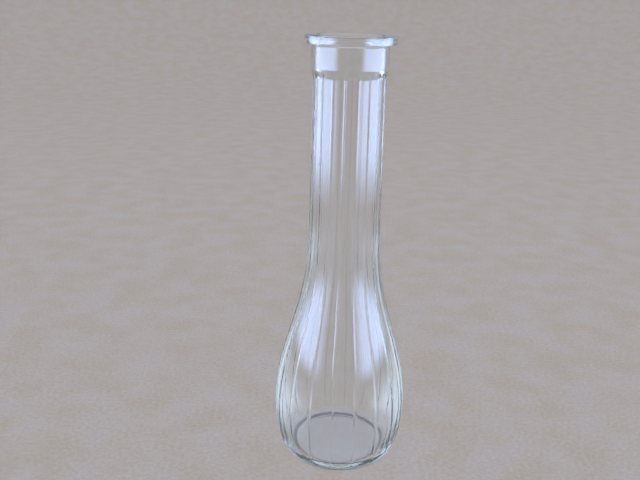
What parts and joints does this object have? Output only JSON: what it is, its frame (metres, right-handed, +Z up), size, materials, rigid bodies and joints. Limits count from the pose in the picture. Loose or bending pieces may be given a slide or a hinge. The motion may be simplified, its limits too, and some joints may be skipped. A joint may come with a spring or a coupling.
{
  "type": "glass bud vase",
  "caption": "Clear ribbed glass bud vase with a round bulb, a long narrow neck and a flanged rim, for a single stem or a small bunch.",
  "frame": {"origin": "on the vase's axis, at the plane that its base ring stands on", "axes": "+Z up the vase's axis, with two opposite ribs on the X axis; -Y is the front by choice, since the vase looks alike every 20 degrees"},
  "size_m": [0.0722, 0.0716, 0.228],
  "materials": {
    "clear_glass": "fire-polished gloss, faint aqua tint where thick"
  },
  "bodies": {
    "root": {"glass_vase": "clear_glass"}
  },
  "joints": []
}
